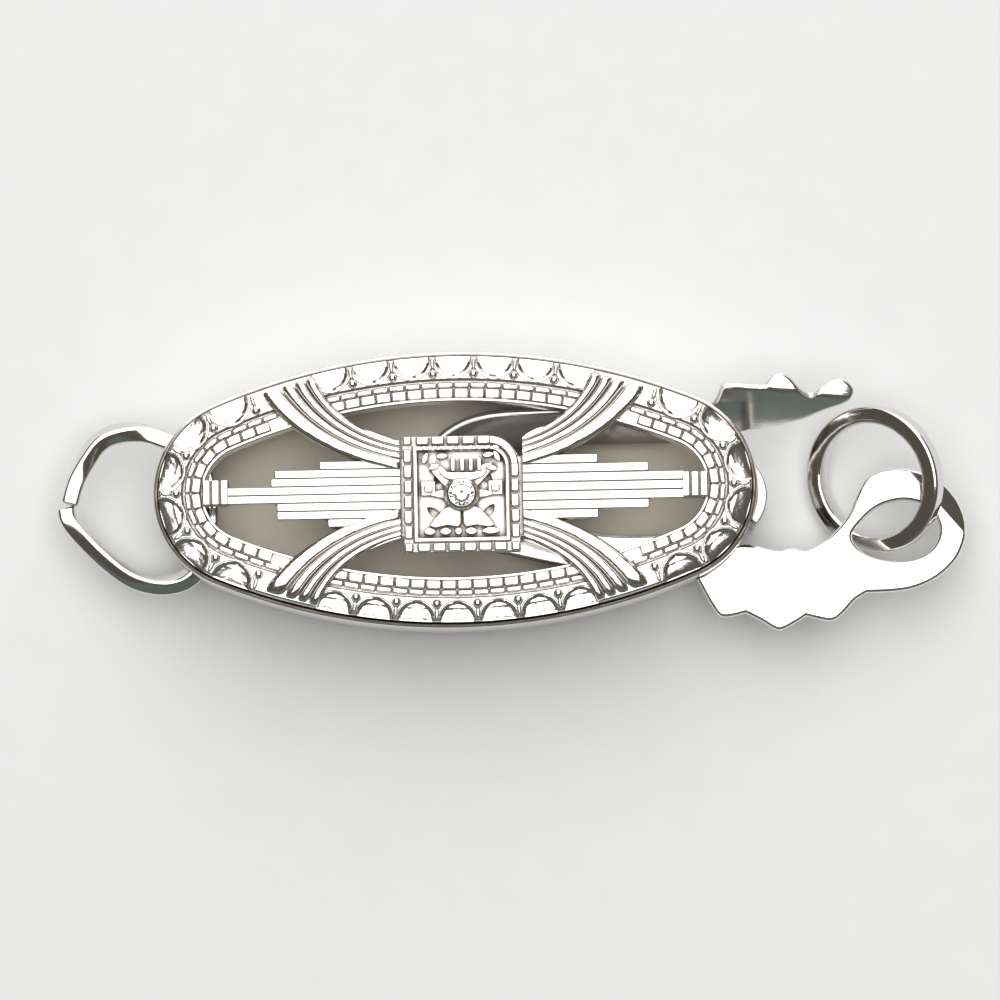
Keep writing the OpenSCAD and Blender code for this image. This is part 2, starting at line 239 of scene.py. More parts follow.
softbox("softbox_overhead", (0, 0.12, 0.33), (0.42, 0.7), 2.15, (1.0, 0.995, 0.985))
softbox("softbox_back", (0.05, 0.4, 0.08), (0.6, 0.2), 0.44, (1.0, 0.995, 0.985))

world = bpy.data.worlds.new("studio")
world.use_nodes = True
world.node_tree.nodes["Background"].inputs["Color"].default_value = (0.097, 0.088, 0.072, 1)
bpy.context.scene.world = world
bpy.context.scene.view_settings.view_transform = "Standard"

clear_bench()
bpy.ops.mesh.primitive_plane_add(size=6, location=(0, 0, -0.00003))
table = bpy.context.object
table.name = "table"
clear_bench()
bpy.ops.mesh.primitive_plane_add(size=1, location=(0, -0.014, 0.0055), rotation=(math.pi / 2, 0, 0))
card = bpy.context.object
card.scale = (0.12, 0.012, 1)
bpy.ops.object.transform_apply(rotation=True, scale=True)
card.name = "dark_card"
card.visible_camera = card.visible_shadow = card.visible_diffuse = False
print("two softboxes, a table and a dark card")

# %% [markdown]
# Metal finishes are built from two small node groups. The first finds the creases: it asks how much open
# room there is round each point, and paints the narrow corners brown and dull. That brown is partly painted
# shade for the shade that falls in the creases, and partly the polishing dirt that stays where polish and
# cloth don't reach. The second gives the faint crossed lines that a buffing wheel leaves.

# %% Node groups for metal


def node(tree, kind, place=(0, 0), **values):
    """A shader node with its settings."""
    made = tree.nodes.new("ShaderNode" + kind)
    made.location = place
    for key, value in values.items():
        setattr(made, key, value)
    return made


def new_group(name, inputs, outputs):
    """A node group that takes numbers and puts out masks, with its input and output nodes."""
    tree = bpy.data.node_groups.new(name, "ShaderNodeTree")
    for label, value in inputs.items():
        tree.interface.new_socket(label, in_out="INPUT", socket_type="NodeSocketFloat").default_value = value
    for label in outputs:
        tree.interface.new_socket(label, in_out="OUTPUT", socket_type="NodeSocketFloat")
    return tree, tree.nodes.new("NodeGroupInput"), tree.nodes.new("NodeGroupOutput")


# this group paints shade and dirt into creases: its Open is low where little room is open round a point
crease, crease_in, crease_out = new_group("crease_shade_and_dirt", {"Reach": 0.00012, "From": 0.35, "To": 0.8}, ["Open"])
room = node(crease, "AmbientOcclusion", samples=6)
spread = node(crease, "MapRange")
crease.links.new(crease_in.outputs["Reach"], room.inputs["Distance"])
crease.links.new(room.outputs["AO"], spread.inputs["Value"])
crease.links.new(crease_in.outputs["From"], spread.inputs["From Min"])
crease.links.new(crease_in.outputs["To"], spread.inputs["From Max"])
crease.links.new(spread.outputs["Result"], crease_out.inputs["Open"])

buff, buff_in, buff_out = new_group("buffing_lines", {"Scale": 4000.0, "Stretch": 0.08},
                                    ["Lines", "Clouds", "Waves"])
buff_space = node(buff, "TexCoord")
for turn, label, size in ((0.5, "Lines", None), (0, "Clouds", 500), (1, "Waves", 1700)):
    mapping = node(buff, "Mapping")
    mapping.inputs["Rotation"].default_value = (0, 0, turn)
    noise = node(buff, "TexNoise")
    noise.inputs["Detail"].default_value = 3
    buff.links.new(buff_space.outputs["Object"], mapping.inputs["Vector"])
    if label == "Lines":
        stretch = node(buff, "CombineXYZ")
        stretch.inputs["Y"].default_value = 1
        stretch.inputs["Z"].default_value = 1
        buff.links.new(buff_in.outputs["Stretch"], stretch.inputs["X"])
        buff.links.new(stretch.outputs["Vector"], mapping.inputs["Scale"])
        buff.links.new(buff_in.outputs["Scale"], noise.inputs["Scale"])
    else:
        noise.inputs["Scale"].default_value = size
    buff.links.new(mapping.outputs["Vector"], noise.inputs["Vector"])
    buff.links.new(noise.outputs["Fac"], buff_out.inputs[label])
print("groups", bpy.data.node_groups.keys())

# %% [markdown]
# Every metal of the clasp is the same white alloy with another finish, so one function mixes them all: the
# colour of the metal, the colour of the painted shade and dirt in its creases, how far that reaches, and how
# rough and how scratched the surface is.

# %% Metal finishes
# the third colour is the brown of the painted crease shade and dirt
WHITE, SHEET_WHITE, SHADE_AND_DIRT_BROWN = (0.90, 0.885, 0.85), (0.92, 0.91, 0.885), (0.12, 0.08, 0.05)


def white_metal(name, colour, reach, rough, shade_and_dirt=SHADE_AND_DIRT_BROWN, creases=(0.35, 0.8), scratch=0.05, waves=0.01,
                shine=1.0):
    """A finish of the white metal. The reach of its painted crease shade and dirt and the height of its waves
    are in millimetres.
    """
    made = bpy.data.materials.new(name)
    made.use_nodes = True
    tree = made.node_tree
    link = tree.links.new
    metal = tree.nodes["Principled BSDF"]
    edge = node(tree, "Group", (-700, 200))
    edge.node_tree = crease
    edge.inputs["Reach"].default_value = reach * MM
    edge.inputs["From"].default_value, edge.inputs["To"].default_value = creases
    worn = node(tree, "Group", (-700, -200))
    worn.node_tree = buff
    # painted crease shade and dirt: where Open is low the metal turns brown, less metallic and duller
    mix = node(tree, "Mix", (-400, 200), data_type="RGBA")
    mix.inputs["A"].default_value = (*shade_and_dirt, 1)
    mix.inputs["B"].default_value = (*colour, 1)
    link(edge.outputs["Open"], mix.inputs["Factor"])
    tone = node(tree, "MapRange", (-400, 500))
    tone.inputs["To Min"].default_value = 0.93
    link(worn.outputs["Clouds"], tone.inputs["Value"])
    shade = node(tree, "Mix", (-200, 200), data_type="RGBA", blend_type="MULTIPLY")
    shade.inputs["Factor"].default_value = 1
    link(mix.outputs["Result"], shade.inputs["A"])
    link(tone.outputs["Result"], shade.inputs["B"])
    link(shade.outputs["Result"], metal.inputs["Base Color"])
    gloss = node(tree, "MapRange", (-400, -200))
    gloss.inputs["To Min"].default_value, gloss.inputs["To Max"].default_value = rough
    link(worn.outputs["Clouds"], gloss.inputs["Value"])
    dull = node(tree, "MapRange", (-200, -200))
    dull.inputs["To Min"].default_value = 0.45
    link(edge.outputs["Open"], dull.inputs["Value"])
    bare = node(tree, "Math", (-200, 0), operation="MULTIPLY")
    bare.inputs[1].default_value = shine
    link(edge.outputs["Open"], bare.inputs[0])
    link(bare.outputs["Value"], metal.inputs["Metallic"])
    link(gloss.outputs["Result"], dull.inputs["To Max"])
    link(dull.outputs["Result"], metal.inputs["Roughness"])
    bump = node(tree, "Bump", (-200, -400))
    bump.inputs["Strength"].default_value = scratch
    bump.inputs["Distance"].default_value = 0.01 * MM
    link(worn.outputs["Lines"], bump.inputs["Height"])
    hand = node(tree, "Bump", (-400, -400))
    hand.inputs["Strength"].default_value = 1
    hand.inputs["Distance"].default_value = waves * MM
    link(worn.outputs["Waves"], hand.inputs["Height"])
    link(hand.outputs["Normal"], bump.inputs["Normal"])
    link(bump.outputs["Normal"], metal.inputs["Normal"])
    return made


def tinted(name, scale, tint_a, tint_b):
    """A plain material whose colour drifts between two tints, and its shader."""
    made = bpy.data.materials.new(name)
    made.use_nodes = True
    tree = made.node_tree
    noise = node(tree, "TexNoise")
    noise.inputs["Scale"].default_value = scale
    mix = node(tree, "Mix", data_type="RGBA")
    mix.inputs["A"].default_value = (*tint_a, 1)
    mix.inputs["B"].default_value = (*tint_b, 1)
    tree.links.new(node(tree, "TexCoord").outputs["Object"], noise.inputs["Vector"])
    tree.links.new(noise.outputs["Fac"], mix.inputs["Factor"])
    shader = tree.nodes["Principled BSDF"]
    tree.links.new(mix.outputs["Result"], shader.inputs["Base Color"])
    return made, shader


cast_metal = white_metal("cast_filigree_metal", WHITE, 0.14, (0.10, 0.20), creases=(0.3, 0.75), waves=0.03)
# the field finish paints the strongest crease shade and dirt, so the outlines of the plaque's forms and the
# slits turn dark brown
field_metal = white_metal("cut_field_metal", WHITE, 0.16, (0.10, 0.20), creases=(0.5, 0.97), waves=0.03)
bar_metal = white_metal("filed_bar_metal", WHITE, 0.15, (0.08, 0.18), creases=(0.42, 0.85), waves=0.012)
sheet_metal = white_metal("rolled_sheet_metal", SHEET_WHITE, 0.10, (0.05, 0.12), scratch=0.08, waves=0.004)
sawn_metal = white_metal("sawn_edge_metal", (0.93, 0.915, 0.885), 0.05, (0.38, 0.5), scratch=0.3)
wire_metal = white_metal("drawn_wire_metal", (0.80, 0.785, 0.755), 0.10, (0.07, 0.16), scratch=0.1, waves=0.006)
wall_metal = white_metal("box_wall_metal", (0.84, 0.825, 0.795), 0.25, (0.12, 0.24))
spring_metal = white_metal("spring_metal", (0.88, 0.865, 0.83), 0.10, (0.12, 0.24), shine=0.8)
tab_metal = white_metal("handled_tab_metal", SHEET_WHITE, 0.10, (0.12, 0.19), scratch=0.15, waves=0.006)
# the inside of the box gets a darker, browner metal and crease colour: painted shade for the dim inside of the
# box
shaded_inside_metal = white_metal("box_inside_painted_shade", (0.58, 0.53, 0.455), 0.5, (0.4, 0.55), shade_and_dirt=(0.42, 0.37, 0.30),
                           creases=(0.1, 0.9), scratch=0.2, shine=0.6)

paper, coat = tinted("table_paper", 900, (0.79, 0.80, 0.815), (0.83, 0.84, 0.855))
coat.inputs["Roughness"].default_value = 0.9
table.data.materials.append(paper)
black = bpy.data.materials.new("dark_card")
black.use_nodes = True
matt = black.node_tree.nodes["Principled BSDF"]
matt.inputs["Base Color"].default_value = (0.11, 0.135, 0.128, 1)
matt.inputs["Roughness"].default_value = 1
card.data.materials.append(black)
print("materials", len(bpy.data.materials))

# %% [markdown]
# The box is an oval of four arcs that meet without a corner: two ends of a small radius and two long sides
# of a large one. Everything on the front follows this oval at some depth in from its outer face, so one
# function answers where a place on it is, and another spins a profile round it, arc by arc.

# %% The oval
HALF_L, HALF_W, END_R = 8.05, 3.7, 2.6
END_X = HALF_L - END_R
SIDE_R = (END_X ** 2 + HALF_W ** 2 - END_R ** 2) / (2 * (HALF_W - END_R))
SIDE_Y = SIDE_R - HALF_W
# from an end's centre, the direction in which its arc meets a side's
TURN = math.atan2(SIDE_Y, END_X)


def side_length(depth):
    """Half the length of a side's arc."""
    return (SIDE_R - depth) * (math.pi / 2 - TURN)


def quarter_length(depth):
    """The length of a quarter of the oval."""
    return side_length(depth) + (END_R - depth) * TURN


def on_oval(s, depth):
    """The place at a distance s clockwise from the middle of the far side, and the way out there."""
    whole = quarter_length(depth)
    quarter = math.floor(s / whole) % 4
    part = s - math.floor(s / whole) * whole
    if quarter % 2:
        part = whole - part
    if part < side_length(depth):
        a = math.pi / 2 - part / (SIDE_R - depth)
        x, y = (SIDE_R - depth) * math.cos(a), (SIDE_R - depth) * math.sin(a) - SIDE_Y
    else:
        a = TURN - (part - side_length(depth)) / (END_R - depth)
        x, y = END_X + (END_R - depth) * math.cos(a), (END_R - depth) * math.sin(a)
    a = math.degrees(a)
    right, far = quarter < 2, quarter in (0, 3)
    return x if right else -x, y if far else -y, (a if far else -a) if right else (180 - a if far else 180 + a)


def spin_profile(name, profile, side_steps, end_steps, open_back=False):
    """Spins a closed profile of (depth, height) points round the oval, without its last edge if open_back."""
    def start(depth, height):
        return Vector((END_X + (END_R - depth) * math.cos(TURN), -(END_R - depth) * math.sin(TURN), height))

    piece = outline(name, [start(*point) for point in profile])
    edit(piece)
    if open_back:
        ends = start(*profile[0]), start(*profile[-1])
        choose("EDGE", lambda e: all(min((v.co - end).length for end in ends) < 1e-5 for v in e.verts))
        bpy.ops.mesh.delete(type="EDGE_FACE")
    bpy.ops.mesh.select_mode(type="VERT")
    bpy.ops.mesh.select_all(action="SELECT")
    end_arc, side_arc = (2 * TURN, end_steps), (math.pi - 2 * TURN, side_steps)
    for centre, (angle, steps) in (((END_X, 0, 0), end_arc), ((0, -SIDE_Y, 0), side_arc),
                                   ((-END_X, 0, 0), end_arc), ((0, SIDE_Y, 0), side_arc)):
        bpy.ops.mesh.spin(steps=steps, angle=-angle, center=centre, axis=(0, 0, 1))
    tidy_faces()
    bpy.ops.object.mode_set(mode="OBJECT")
    return piece


print(f"oval: side radius {SIDE_R:.2f} mm, quarter {quarter_length(0):.2f} mm")

# %% [markdown]
# The box itself is bent from sheet and soldered: a wall that curves in to a flat back, and a thin rim that
# holds the front. Its profile is spun round the oval, the two open edges of the back are filled, and the
# mouth and the two wire holes are cut out with simple tools.

# %% Box wall
WALL_T, BACK_T, BACK_LEAN, BELLY_Z, SEAT_Z = 0.36, 0.3, 0.42, 1.5, 2.38
MOUTH_SIZE, MOUTH_PLACE = (2 * END_R, 4.92, 1.5), (END_X + END_R, 0.04, 1.55)
HOLE_R, HOLE_Z, WIRE_HOLES = 0.36, 1.3, ((-7.5, 1.49, -23), (-7, -1.87, 40))


def block(size, place=(0, 0, 0)):
    """A block with sharp edges about a place."""
    clear_bench()
    bpy.ops.mesh.primitive_cube_add(size=1, location=place, scale=size)
    bpy.ops.object.transform_apply(location=True, scale=True)
    return bpy.context.object


def two_finishes(piece, first, second, test):
    """Gives a piece two finishes, the second one on the faces that pass a test."""
    piece.data.materials.append(first)
    piece.data.materials.append(second)
    for face in piece.data.polygons:
        face.material_index = int(test(face))


def looks_inside(face):
    """Whether a face of the wall looks into the box."""
    c = face.center
    inwards = Vector((-c.x * 0.5, -c.y, 0)).dot(face.normal)
    return BACK_T - 0.01 < c.z < SEAT_Z - 0.01 and (face.normal.z > 0.5 or inwards > 0.2)


heel = [(BACK_LEAN * (1 - math.sin(a)) ** 1.35, BELLY_Z * (1 - math.cos(a)) ** 0.9)
        for a in [math.radians(9 * k) for k in range(1, 11)]]
rim = [(0, 2.94), (0.02, 2.985), (0.06, 3), (0.1, 2.985), (0.12, 2.94), (0.12, SEAT_Z), (WALL_T, SEAT_Z)]
inner_heel = [(WALL_T + depth, max(z, BACK_T)) for depth, z in reversed(heel)]
profile = [(0.86, 0), (0.46, 0), (0.425, 0.012)] + heel + rim
profile += [point for point in inner_heel if point[1] > BACK_T + 0.04] + [(0.86, BACK_T)]
box_wall = spin_profile("box_wall", profile, 48, 40, open_back=True)
edit(box_wall)
for level in (0, BACK_T):
    choose("EDGE", lambda e: e.is_boundary and abs(middle(e).z - level) < 0.01)
    bpy.ops.mesh.edge_face_add()
tidy_faces()
cut(box_wall, block(MOUTH_SIZE, MOUTH_PLACE))
for x, y, way in WIRE_HOLES:
    clear_bench()
    bpy.ops.mesh.primitive_cylinder_add(vertices=40, radius=HOLE_R, depth=1.5, location=(x, y, HOLE_Z),
                                        rotation=(0, math.pi / 2, math.radians(way)))
    cut(box_wall, bpy.context.object)
# the faces that look into the box take the darker metal, which paints the shade inside the box
two_finishes(box_wall, wall_metal, shaded_inside_metal, looks_inside)
finish_piece(box_wall, "case", wall_metal)

# %% [markdown]
# The bar in the mouth is a strip of sheet bowed outwards, with its foot soldered to the back. It is the
# post that the hook is threaded round. It is lofted from sections along a short arc, and its edges are rounded.

# %% Mouth bar
POST_R, POST_HALF_W = 1.2, 0.8
POST_SECTION = [(0.6, 0.15), (POST_R, 0.15), (POST_R, 2.8), (0.9, 2.8), (0.9, 0.8), (0.6, 0.8)]
post_centre = Vector((HALF_L + 0.27 - POST_R, -0.26, 0))
post_rings = []
for k in range(-8, 9):
    a = math.asin(POST_HALF_W / POST_R) * k / 8
    post_rings.append([post_centre + Vector((r * math.cos(a), r * math.sin(a), z)) for r, z in POST_SECTION])
mouth_bar = loft("mouth_bar", post_rings)
soften(mouth_bar, 0.05, 3)
finish_piece(mouth_bar, "case", wall_metal)

# %% [markdown]
# The front is one casting. Its border is a flat band whose outer part is let down into half-moon lunettes:
# seven along each long side and six round each end. Each has a short steep wall on its round side, and its
# floor curves down towards the rim like a cushion, so it is white where the light comes from and dark on the
# other sides. One cutter of that shape is lofted, set at each lunette, and a boolean modifier cuts them all.

# %% Border and lunettes
BORDER_PROFILE = [(0.15, 2.41), (0.15, 3.24), (0.17, 3.31), (0.22, 3.35), (0.74, 3.35), (0.77, 3.335),
                  (0.79, 3.27), (0.81, 3.25), (1.26, 3.25), (1.28, 3.29), (1.33, 3.29), (1.35, 3.26),
                  (1.35, 2.41)]
BORDER_TOP, LUNETTE_DEPTH = 3.35, 0.17
SIDE_STEP, SIDE_HALF_W = 1.11, 0.53
END_STEP, END_HALF_W = 1.3, 0.57
CUTTER_TURNS = (-35, -20, -8, 0, 4, 8, 13, 18, 24, 31, 40, 50, 60, 70, 78, 85)

border = spin_profile("border", BORDER_PROFILE, 64, 48)
whole_round = 4 * quarter_length(LUNETTE_DEPTH)
# each lunette's distance along the oval, half its width, and how far its floor curves down
lunettes = [(whole_round * share + k * SIDE_STEP, SIDE_HALF_W, 0.05)
            for share in (0, 0.5) for k in range(-3, 4)]
lunettes += [(whole_round * share + (k + 0.5) * END_STEP, END_HALF_W, drop)
             for share, drop in ((0.25, 0.1), (0.75, 0.07)) for k in range(-3, 3)]


def lunette_ring(a, half_w, drop):
    """One section of the cutter, across the lunette: wide at the top, narrower at the floor."""
    u = half_w * math.sin(a)
    w, low = half_w * math.cos(a) + 0.002, max((half_w - 0.075) ** 2 - u * u, 0) ** 0.5 + 0.001
    floor = BORDER_TOP - 0.08 - drop * (1 - max(u, 0) / half_w) ** 3
    half = [(w, 3.5), (w, 3.36), (low, floor + 0.02), (low * 0.85, floor)]
    return [Vector((-u, y, z)) for y, z in half + [(-y, z) for y, z in reversed(half)]]


cutters = []
for s, half_width, drop in lunettes:
    cutter = loft("lunette", [lunette_ring(math.radians(a), half_width, drop) for a in CUTTER_TURNS])
    x, y, out = on_oval(s, LUNETTE_DEPTH)
    cutter.data.transform(at(x, y, 0, out))
    cutters.append(cutter)
cut(border, join("lunettes", cutters))
finish_piece(border, "case", cast_metal, smooth=30)

# %% [markdown]
# Between two lunettes a pointed dart is left standing. Each carries a small ridge towards its tip and a round
# bead at its foot, and a thin bright wire follows the round side of every lunette. The wire is part of a
# torus, and the ridge a ball drawn out to a seed.

# %% Darts and crescents
BEAD_DEPTH, RIDGE_DEPTH = 0.63, 0.36

clear_bench()
bpy.ops.mesh.primitive_torus_add(major_segments=48, minor_segments=10, major_radius=1, minor_radius=0.06)
wire = bpy.context.object
edit(wire)
choose("FACE", lambda f: f.calc_center_median().x > -0.35)
bpy.ops.mesh.delete(type="FACE")
clear_bench()
places = []
for s, half_width, drop in lunettes:
    x, y, out = on_oval(s, LUNETTE_DEPTH)
    radius = half_width + 0.035
    places.append(at(x, y, BORDER_TOP - 0.005, out) @ Matrix.Diagonal((radius, radius, 0.5, 1)))
crescents = copies("lunette_crescents", wire, places)
finish_piece(crescents, "case", cast_metal, smooth=80)

darts = [whole_round * share + (k + 0.5) * SIDE_STEP for share in (0, 0.5) for k in range(-3, 3)]
darts += [whole_round * share + k * END_STEP for share in (0.25, 0.75) for k in range(-3, 4)]


def inward(s, depth, z):
    """A place straight in from the border's edge, turned to face outwards."""
    x, y, out = on_oval(s, LUNETTE_DEPTH)
    step, way = depth - LUNETTE_DEPTH, math.radians(out)
    return at(x - step * math.cos(way), y - step * math.sin(way), z, out)


clear_bench()
bpy.ops.mesh.primitive_uv_sphere_add(segments=16, ring_count=10, radius=0.125)
beads = copies("dart_beads", bpy.context.object, [inward(s, BEAD_DEPTH, BORDER_TOP + 0.02) for s in darts])
clear_bench()
bpy.ops.mesh.primitive_uv_sphere_add(segments=14, ring_count=10, radius=1, scale=(0.17, 0.06, 0.06))
bpy.ops.object.transform_apply(scale=True)
ridges = copies("dart_ridges", bpy.context.object, [inward(s, RIDGE_DEPTH, BORDER_TOP) for s in darts])
beads = join("dart_beads", [beads, ridges])
finish_piece(beads, "case", cast_metal, smooth=80)

# %% [markdown]
# Two lines of square grains run along the inner side of the border, as a milling wheel rolls them. One grain
# is modelled, a small block with rounded edges, and is set round the oval at an even step. The sheaves cover
# the lines near the four corners, and the grains stop there.

# %% Grain lines
GRAINS, COVER_FROM, COVER_TO = 76, 3.45, 4.75


def square_grain(along, across, high, corner):
    """One square grain with its edges rounded."""
    return soften(block((across, along, high)), corner, 2)


for row, (depth, across, z) in enumerate(((0.925, 0.15, 3.215), (1.145, 0.255, 3.23))):
    places = []
    grain_step = 4 * quarter_length(depth) / GRAINS
    for i in range(GRAINS):
        x, y, out = on_oval((i + 0.5) * grain_step, depth)
        if not COVER_FROM < abs(x) < COVER_TO:
            places.append(at(x, y, z, out))
    grains = copies(f"grain_line_{row + 1}", square_grain(grain_step - 0.015, across, 0.24, 0.045), places)
    finish_piece(grains, "case", cast_metal, smooth=60)

# %% [markdown]
# Four sheaves of fluted wire-like ribs leave the middle and flare up to the border. Each is a loft: its
# section is a row of half-round flutes on a flat foot, and it grows wider and turns along a bent line.

# %% Sheaves
PLAQUE_X, PLAQUE_Y, CLEAR_OF_PLAQUE = 0.17, -0.2, 1.64
FRONT_UNDER, FILED_FROM, FILED_TOP = 2.75, 1.66, 3.435
SHEAF_LINE = (Vector((1.4, 0.88)), Vector((3.5, 1.3)), Vector((4.45, 2.88)))
FLUTES = (0.37, 0.23, 0.2, 0.2)
FLUTE_STEPS = (0, 0.05, 0.12, 0.25, 0.5, 0.75, 0.88, 0.95)
SHEAF_STEPS = [k / 20 for k in range(19)] + [0.925, 0.95, 0.97, 0.985, 0.995, 1]


def sheaf_ring(t, flip_x, flip_y):
    """A sheaf's section at t, from the plaque (0) to the border (1). It is filed flat under the plaque."""
    a, b, c = SHEAF_LINE
    line = (1 - t) ** 2 * a + 2 * t * (1 - t) * b + t * t * c
    run = (1 - t) * (b - a) + t * (c - b)
    way = math.atan2(run.y, run.x) + math.radians(15) * t * t
    half_w = 0.37 + 0.41 * t * t
    across = Vector((-math.sin(way), math.cos(way)))
    level = 3.45 - 0.1 * t ** 4 - 0.2 * (1 - (1 - max(t - 0.9, 0) ** 2 / 0.0101) ** 0.5)
    ring = []
    edge = -half_w
    for share in FLUTES:
        width = 2 * half_w * share
        for u in FLUTE_STEPS:
            rise = (0.06 + 0.09 * t) * (1 - abs(2 * u - 1) ** 4)
            ring.append((line + (edge + width * u) * across, level - 0.03 + rise))
        edge += width
    left, right = line + half_w * across, line - half_w * across
    ring += [(left, level), (left, FRONT_UNDER), (right, FRONT_UNDER)]
    ring = [Vector((p.x * flip_x, p.y * flip_y, z)) for p, z in ring]
    for corner in ring:
        if max(abs(corner.x - PLAQUE_X), abs(corner.y - PLAQUE_Y)) < FILED_FROM:
            corner.z = min(corner.z, FILED_TOP)
    return ring


sheaf_pieces = []
for flip_x in (1, -1):
    for flip_y in (1, -1):
        rings = [sheaf_ring(t, flip_x, flip_y) for t in SHEAF_STEPS]
        sheaf = soften(loft("sheaf", rings), 0.04, 2, angle=70)
        edit(sheaf)
        bpy.ops.mesh.bisect(plane_co=(PLAQUE_X + CLEAR_OF_PLAQUE * flip_x, 0, 0), plane_no=(flip_x, 0, 0),
                            use_fill=True, clear_inner=True)
        sheaf_pieces.append(sheaf)
sheaves = join("sheaves", sheaf_pieces)
finish_piece(sheaves, "case", cast_metal, smooth=50)

# %% [markdown]
# A band of close bars crosses the front behind the plaque, each of its own length, so that their ends
# make steps. One bar is modelled: a block with its two long top edges and its end rounded. Each copy gets
# its length by moving its two ends alone, which keeps the rounding true. The bars stop a hair's breadth from
# the plaque, on a lower seat that joins them, and the narrow slit between shows as a dark line, darkened
# further by the painted shade in the seat's finish.

# %% Stepped bars
LEFT_REACH = (3.4, 4.75, 4.75, 6.1, 6.1, 4.9, 4.8, 3.6)
RIGHT_REACH = (3.8, 5.15, 6.1, 6.2, 6.1, 5.15, 3.8)
LEFT_WIDTH, RIGHT_WIDTH, TIP_X = 0.22, 0.245, 6.38


def bar(reach, y, width, left):
    """One bar, from beside the plaque to its reach, at y across the clasp."""
    piece = block((1, width * 0.97, 0.67), (0.5, 0, 3.085))
    edit(piece)
    choose("EDGE", lambda e: middle(e).z > 3.4 and abs(e.verts[0].co.y - e.verts[1].co.y) < 1e-4)
    bpy.ops.mesh.bevel(offset=width * 0.13, segments=3, affect="EDGES")
    choose("EDGE", lambda e: middle(e).x > 0.99 and middle(e).z > 3)
    bpy.ops.mesh.bevel(offset=0.03, segments=2, affect="EDGES")
    choose("VERT", lambda v: v.co.x > 0.5)
    bpy.ops.transform.translate(value=(reach - 1, 0, 0))
    choose("VERT", lambda v: v.co.x < 0.5)
    bpy.ops.transform.translate(value=(CLEAR_OF_PLAQUE + (-PLAQUE_X if left else PLAQUE_X), 0, 0))
    bpy.ops.mesh.select_all(action="SELECT")
    if left:
        bpy.ops.transform.rotate(value=math.pi, orient_axis="Z", center_override=(0, 0, 0))
    bpy.ops.transform.translate(value=(0, y, 0))
    bpy.ops.object.mode_set(mode="OBJECT")
    return piece


bars = [bar(reach, -0.1 + (i - 3.5) * LEFT_WIDTH, LEFT_WIDTH, True) for i, reach in enumerate(LEFT_REACH)]
bars += [bar(reach, (i - 3) * RIGHT_WIDTH, RIGHT_WIDTH, False) for i, reach in enumerate(RIGHT_REACH)]
for tip_x in (-TIP_X, TIP_X):
    for i in (-1, 0, 1):
        bars.append(soften(block((0.25, 0.7, 0.66), (tip_x + i * 0.24, 0, 3.1)), 0.06, 3))
stepped_bars = join("stepped_bars", bars)
finish_piece(stepped_bars, "case", bar_metal, smooth=40)

seats = []
for wide, deep, high in ((2.7, 2.7, 0.45), (3.36, 2.1, 0.4)):
    seats.append(soften(block((wide, deep, high), (PLAQUE_X, PLAQUE_Y, FRONT_UNDER + high / 2)), 0.03))
plaque_seat = join("plaque_seat", seats)
# the seat takes the field finish, whose painted crease shade turns the floor of the narrow slit dark brown
finish_piece(plaque_seat, "case", field_metal)

# %% [markdown]
# The plaque is a small square plate on top of the bars. Its field is let in by an inset that is pushed down,
# which leaves a smooth frame. Square grains stand along its four edges. The far right corner is worn round
# and smooth, as the corner that rubs against the skin and the clothes often is.

# %% Plaque
PLAQUE_HALF, GRAIN_ROW, PLAQUE_SCALE = 1.64, 1.51, 0.94
CORNER_AT, CORNER_R = 0.78, 0.86
PLAQUE_HOME = Matrix.Translation((PLAQUE_X, PLAQUE_Y, 3.45))
PLAQUE_PLACE = PLAQUE_HOME @ Matrix.Diagonal((PLAQUE_SCALE, PLAQUE_SCALE, 1, 1))


def quarter(r, reverse=False):
    """A quarter of a circle about the middle of the worn corner."""
    turns = [math.radians(9 * k) for k in range(11)]
    arc = [(CORNER_AT + r * math.cos(a), CORNER_AT + r * math.sin(a)) for a in turns]
    return arc[::-1] if reverse else arc


far, near = PLAQUE_HALF, -PLAQUE_HALF
plaque = blank("plaque", quarter(CORNER_R) + [(near, far), (near, near), (far, near)], 0.29, 0.58)
edit(plaque)
choose("FACE", lambda f: f.normal.z > 0.99)
# the grains' ledge, the step up to the frame, the frame, and the step down to the field
for step, rise in ((0.26, 0), (0.03, 0.05), (0.11, 0), (0.03, -0.18)):
    bpy.ops.mesh.inset(thickness=step)
    bpy.ops.transform.translate(value=(0, 0, rise))
clear_bench()
bpy.ops.mesh.primitive_cone_add(vertices=40, radius1=0.1, radius2=0.46, depth=0.4, location=(0, 0, 0.46))
cut(plaque, bpy.context.object)


def leaf(x, y, length, width, turn, z, thick):
    """A pointed leaf, lying at (x, y) and turned."""
    half = [(length * (k / 6 - 0.5), width / 2 * math.sin(math.pi * k / 6) ** 0.8) for k in range(7)]
    piece = blank("leaf", half + [(u, -v) for u, v in reversed(half[1:-1])], z, thick)
    piece.data.transform(at(x, y, 0, turn))
    return piece


for x, y, turn in ((-0.78, -0.52, -38), (0.76, -0.5, 52), (-0.62, 0.5, 60), (0.72, 0.46, -55)):
    cut(plaque, leaf(x, y, 0.5, 0.24, turn, 0.6, 0.7))
soften(plaque, 0.03, 2)
plaque.data.transform(PLAQUE_PLACE)
finish_piece(plaque, "case", field_metal, smooth=40)

